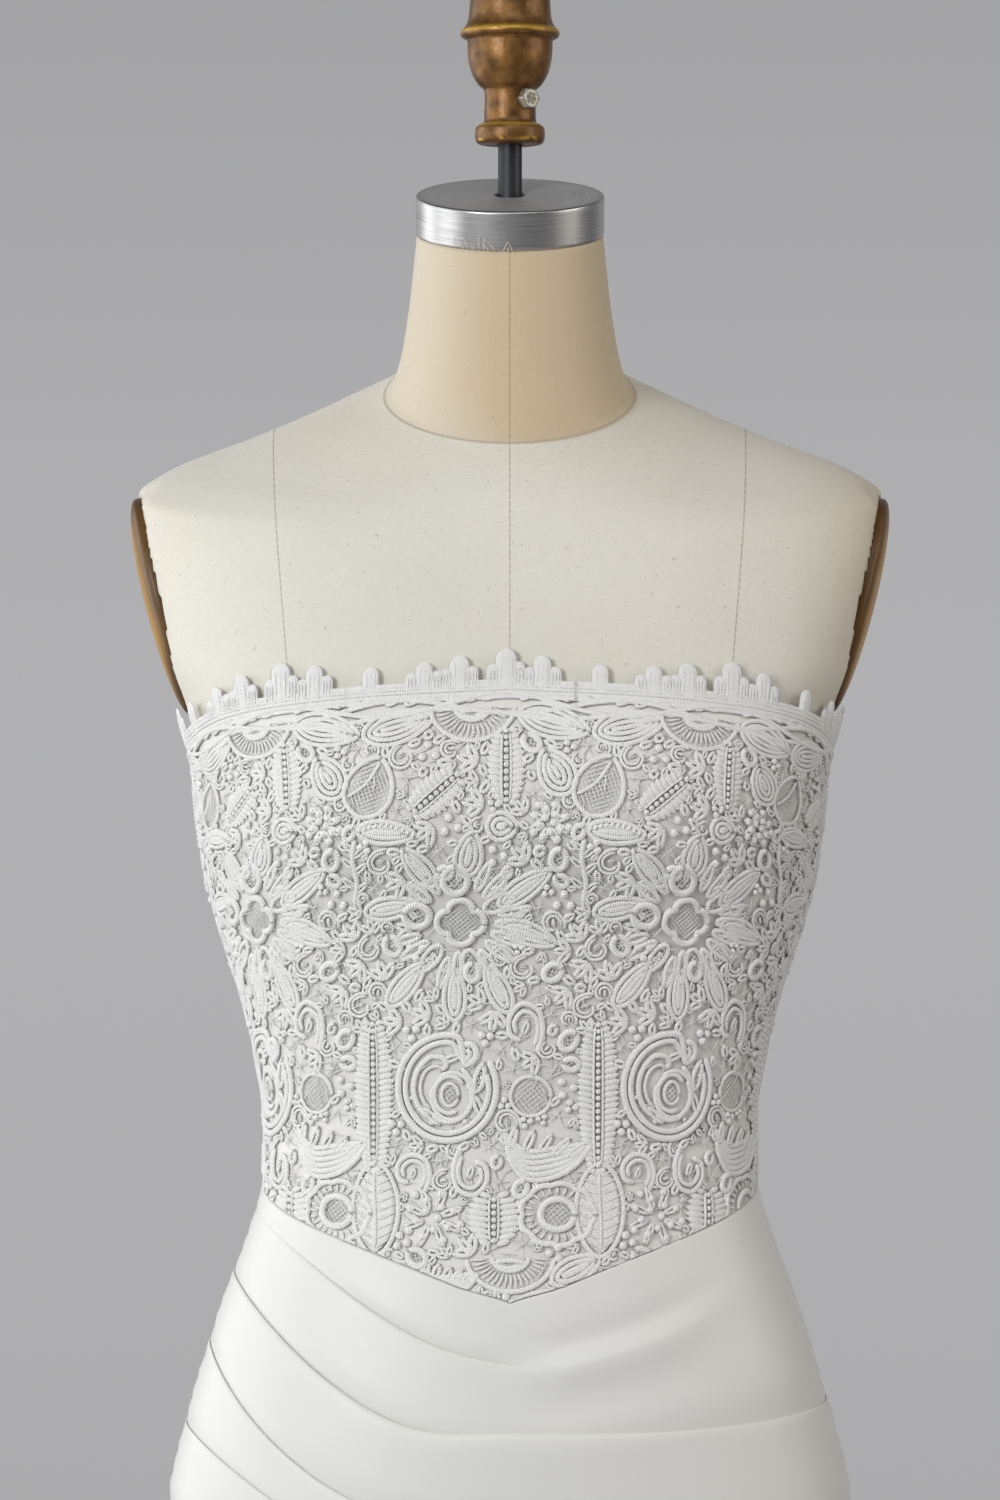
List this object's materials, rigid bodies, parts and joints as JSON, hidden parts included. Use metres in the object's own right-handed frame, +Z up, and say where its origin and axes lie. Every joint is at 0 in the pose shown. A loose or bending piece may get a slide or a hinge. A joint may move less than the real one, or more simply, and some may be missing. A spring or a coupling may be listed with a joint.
{
  "type": "strapless lace corset dress on a dress form",
  "caption": "Strapless dress with a corded lace bodice pointed at the waist and a short satin skirt folded from one side seam, standing on a limbless dress form with a round base.",
  "frame": {"origin": "on the floor under the middle of the round base", "axes": "+Z up the pole, the front of the dress towards -Y, the wearer's left towards +X"},
  "size_m": [0.41, 0.41, 1.677],
  "materials": {
    "form_linen": "matt linen, stretched",
    "armhole_paint": "bronze and yellow gold paint, satin",
    "neck_steel": "turned and brushed",
    "rod_black": "black, satin",
    "finial_bronze": "turned wood, bronze paint worn to gold on the lips",
    "screw_zinc": "zinc plated",
    "board_wood": "plain",
    "stand_black": "black, satin",
    "base_iron": "black paint",
    "lining_satin": "smooth satin",
    "lace_cotton": "corded lace, matt",
    "skirt_satin": "smooth satin",
    "zip_tape": "woven tape",
    "zip_metal": "white enamel"
  },
  "bodies": {
    "dress_and_form": {"form_body": "form_linen", "armhole_plate_left": "armhole_paint", "armhole_plate_right": "armhole_paint", "neck_cap": "neck_steel", "neck_rod": "rod_black", "finial": "finial_bronze", "finial_screw": "screw_zinc", "form_board": "board_wood", "stand_collar": "stand_black", "stand_pole": "stand_black", "stand_base": "base_iron", "lining_front": "lining_satin", "lining_back_left": "lining_satin", "lining_back_right": "lining_satin", "lace_front": "lace_cotton", "lace_back_left": "lace_cotton", "lace_back_right": "lace_cotton", "skirt_front": "skirt_satin", "skirt_back_left": "skirt_satin", "skirt_back_right": "skirt_satin", "zip_chain": "zip_tape", "zip_slider": "zip_metal"},
    "zip_pull": {"zip_pull": "zip_metal"}
  },
  "joints": [
    {"name": "zip_pull_hinge", "type": "hinge", "parent": "dress_and_form", "child": "zip_pull", "pos_m": [0, 0.10883, 1.2175], "axis": [1, 0, 0], "range_deg": [0, 150]}
  ]
}
